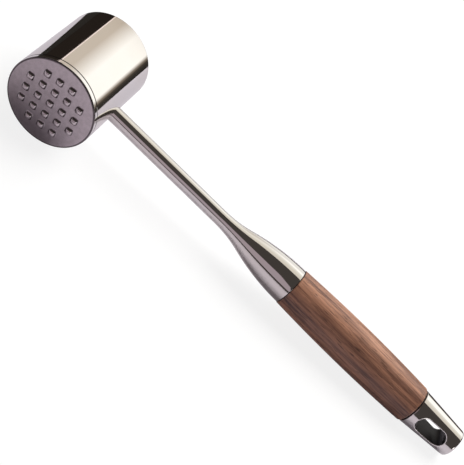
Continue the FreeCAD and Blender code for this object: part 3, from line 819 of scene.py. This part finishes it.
class MALLET_OT_stage(bpy.types.Operator):
    """Lay the pale floor, hang the light and the boards that steel mirrors, and set the camera"""
    bl_idname = "mallet.stage"
    bl_label = "Stage"

    def board(self, name, centre, across, upwards, width, height, drop=0.0):
        """A flat board that only reflections see. drop lowers its upper right corner."""
        select_only()
        bpy.ops.mesh.primitive_plane_add(size=1)
        board = bpy.context.object
        board.name = name
        if drop:
            bpy.ops.object.mode_set(mode="EDIT")
            select_corner(board, (0.5, 0.5))
            bpy.ops.transform.translate(value=(0, -drop / height, 0))
            bpy.ops.object.mode_set(mode="OBJECT")
        across, upwards = Vector(across).normalized(), Vector(upwards).normalized()
        board.matrix_world = Matrix.Translation(centre) @ Matrix(
            (across * width, upwards * height, across.cross(upwards))).transposed().to_4x4()
        board.visible_camera = False
        board.visible_shadow = False
        nodes, _ = new_material(name)
        glow = nodes.add("ShaderNodeEmission")
        nodes.put(nodes.tree.nodes["Material Output"].inputs["Surface"], glow.outputs[0])
        board.data.materials.append(bpy.data.materials[name])
        return nodes, glow

    def panel(self, name, left, right, fade=(0.0, 1.0), **placing):
        """A board in two colours, left and right, with the shares of its width where they meet."""
        nodes, glow = self.board(name, **placing)
        across, _ = nodes.stage_place("UV")
        nodes.put(glow.inputs["Color"],
                  nodes.mix_colour(nodes.band(across, *fade), opaque(left), opaque(right)))

    def back_softbox(self):
        """Board behind the mallet, lit in rays that spread from the head's axis.

        The head mirrors each ray as a straight band: beige fading to white, then into the dark.
        Nearer to that axis, in what the handle mirrors, the board is dimmer.
        """
        middle, width, height = Vector((0.2, 1.0, 0.6)), 2.6, 1.2
        hub = HEAD + Vector((0, 0, 0.012))
        nodes, glow = self.board("back_softbox", centre=middle, across=(1, 0, 0), upwards=(0, 0, 1),
                                 width=width, height=height)
        right, top = nodes.stage_place("UV")
        across = nodes.maths("MULTIPLY_ADD", right, width, middle.x - width / 2 - hub.x)
        upwards = nodes.maths("MULTIPLY_ADD", top, height, middle.z - height / 2 - hub.z)
        nodes.put(glow.inputs["Strength"],
                  nodes.band(nodes.distance(across, upwards), 0.68, 0.78, 0.76, 1.0))
        turn = nodes.band(nodes.maths("ARCTAN2", across, upwards),
                          math.radians(-60), math.radians(90), kind="LINEAR")
        dark, glint = (0.02, 0.015, 0.012), (1.2, 1.02, 0.94)
        beige, white = (0.70, 0.61, 0.51), (1.30, 1.27, 1.20)
        dusk, night = (0.30, 0.25, 0.20), (0.06, 0.05, 0.04)
        nodes.put(glow.inputs["Color"], nodes.ramp(turn, [
            (0.0, dark), (0.050, dark), (0.053, glint), (0.066, glint), (0.072, beige),
            (0.24, beige), (0.54, white), (0.89, white), (0.95, dusk), (0.99, night)]))

    def floor(self):
        """Pale floor. Metal mirrors it as a lavender sheet on a dark table."""
        select_only()
        bpy.ops.mesh.primitive_plane_add(size=30, location=(0, 0, 0))
        floor = bpy.context.object
        floor.name = "pale_floor"
        nodes, _ = new_material("pale_floor")
        across, depth = nodes.stage_place("Object")
        # Where the sheet ends: a slanting edge on the left, a corner on the right, and a far edge.
        slant = nodes.maths("MULTIPLY_ADD", nodes.maths("ADD", across, 0.197), 0.3015, depth)
        left_end = nodes.maths("MULTIPLY", nodes.band(slant, 0.1025, 0.1045),
                               nodes.band(across, -0.150, -0.155))
        right_end = nodes.maths("MULTIPLY", nodes.band(across, 0.06, 0.10),
                                nodes.band(depth, 0.045, 0.055))
        far_end = nodes.band(depth, 0.215, 0.225)
        beyond = nodes.maths("MAXIMUM", nodes.maths("MAXIMUM", left_end, right_end), far_end)
        sheet = nodes.mix_colour(nodes.band(depth, -0.06, 0.04),
                                 (0.48, 0.44, 0.48, 1), (0.48, 0.455, 0.50, 1))
        tone = nodes.mix_colour(beyond, sheet, (0.02, 0.018, 0.016, 1))
        mirrored = nodes.glowing(tone, tone, 0.14)
        seen = nodes.glowing((0.17, 0.17, 0.17, 1), (1, 1, 1, 1), 0.84)
        nodes.put(nodes.tree.nodes["Material Output"].inputs["Surface"],
                  nodes.seen_or_mirrored(seen, mirrored))
        floor.data.materials.append(bpy.data.materials["pale_floor"])

    def key_light(self, scene):
        """One broad soft light from above and behind, which shows in no reflection."""
        data = bpy.data.lights.new("key_light", "AREA")
        data.shape = "DISK"
        data.size = 1.4
        data.energy = 30
        light = bpy.data.objects.new("key_light", data)
        scene.collection.objects.link(light)
        light.location = (0.35, 0.75, 1.15)
        light.rotation_euler = (-light.location).to_track_quat("-Z", "Y").to_euler()
        light.visible_glossy = False

    def world(self, scene):
        """White surroundings for the eye, a dim room for everything else."""
        scene.world = bpy.data.worlds.new("studio")
        scene.world.use_nodes = True
        nodes = Nodes(scene.world.node_tree)
        dim = nodes.tree.nodes["Background"]
        dim.inputs["Color"].default_value = (0.060, 0.052, 0.047, 1)
        white = nodes.add("ShaderNodeBackground", Color=(1, 1, 1, 1), Strength=1.0)
        nodes.put(nodes.tree.nodes["World Output"].inputs["Surface"],
                  nodes.seen_or_mirrored(white.outputs[0], dim.outputs[0]))

    def camera(self, scene):
        """Look down on the mallet from the toothed face's side, with the frame turned an eighth."""
        place, aim = Vector((-0.05487, -0.45789, 0.40724)), Vector((-0.01401, 0.00577, 0.012))
        data = bpy.data.cameras.new("camera")
        data.lens = 88.76
        data.clip_start, data.clip_end = 0.01, 50
        camera = bpy.data.objects.new("camera", data)
        scene.collection.objects.link(camera)
        look = (aim - place).to_track_quat("-Z", "Y").to_matrix()
        roll = Matrix.Rotation(math.radians(45.05), 3, "Z")
        camera.location = place
        camera.rotation_euler = (look @ roll).to_euler()
        scene.camera = camera

    def execute(self, context):
        scene = context.scene
        scene.view_settings.view_transform = "Standard"
        self.floor()
        self.world(scene)
        self.key_light(scene)
        self.back_softbox()
        self.panel("top_softbox", (0.99, 0.97, 0.88), (0.80, 0.74, 0.64), fade=(0.0, 0.8),
                   centre=(0.35, 0.62, 1.1), across=(0, -1, 0), upwards=(-1, 0, 0),
                   width=0.8, height=2.3)
        spark, pink = (2.2, 2.1, 2.05), (0.40, 0.33, 0.36)
        self.panel("spark_card", spark, spark,
                   centre=(0.54, -0.36, 0.09), across=(0.58, 0.81, 0), upwards=(0, 0, 1),
                   width=0.22, height=0.12)
        self.panel("front_card", pink, pink,
                   centre=(-0.65, -1.0, 0.55), across=(-1, 0, 0), upwards=(0, 0, 1),
                   width=1.5, height=0.75)
        self.panel("front_wedge", pink, pink,
                   centre=(0.28, -1.0, 0.55), across=(1, 0, 0), upwards=(0, 0, 1),
                   width=0.36, height=0.75, drop=0.68)
        self.camera(scene)
        return {"FINISHED"}


class MALLET_PT_sidebar(bpy.types.Panel):
    """Sizes, finishes and buttons for the mallet"""
    bl_idname = "MALLET_PT_sidebar"
    bl_label = "Meat Mallet"
    bl_space_type = "VIEW_3D"
    bl_region_type = "UI"
    bl_category = "Mallet"

    def draw(self, context):
        scene = context.scene
        for group in (scene.mallet_head, scene.mallet_handle, scene.mallet_finishes):
            box = self.layout.box()
            for name in group.bl_rna.properties.keys():
                if name not in ("rna_type", "name"):
                    box.prop(group, name)
        for operator in OPERATORS:
            self.layout.operator(operator.bl_idname)


OPERATORS = (
    MALLET_OT_materials,
    MALLET_OT_head_shell,
    MALLET_OT_toothed_face,
    MALLET_OT_stem,
    MALLET_OT_grip,
    MALLET_OT_seals,
    MALLET_OT_end_cap,
    MALLET_OT_stage,
)
GROUPS = {
    "mallet_head": MalletHeadSizes,
    "mallet_handle": MalletHandleSizes,
    "mallet_finishes": MalletFinishes,
}
CLASSES = (*GROUPS.values(), *OPERATORS, MALLET_PT_sidebar)


def register():
    for item in CLASSES:
        bpy.utils.register_class(item)
    for name, group in GROUPS.items():
        setattr(bpy.types.Scene, name, bpy.props.PointerProperty(type=group))


def unregister():
    for name in GROUPS:
        delattr(bpy.types.Scene, name)
    for item in reversed(CLASSES):
        bpy.utils.unregister_class(item)


def main():
    """Register the tools and build the mallet and its stage."""
    register()
    bpy.ops.mallet.materials()
    bpy.ops.mallet.head_shell()
    bpy.ops.mallet.toothed_face()
    bpy.ops.mallet.stem()
    bpy.ops.mallet.grip()
    bpy.ops.mallet.seals()
    bpy.ops.mallet.end_cap()
    bpy.ops.mallet.stage()


if __name__ == "__main__":
    main()
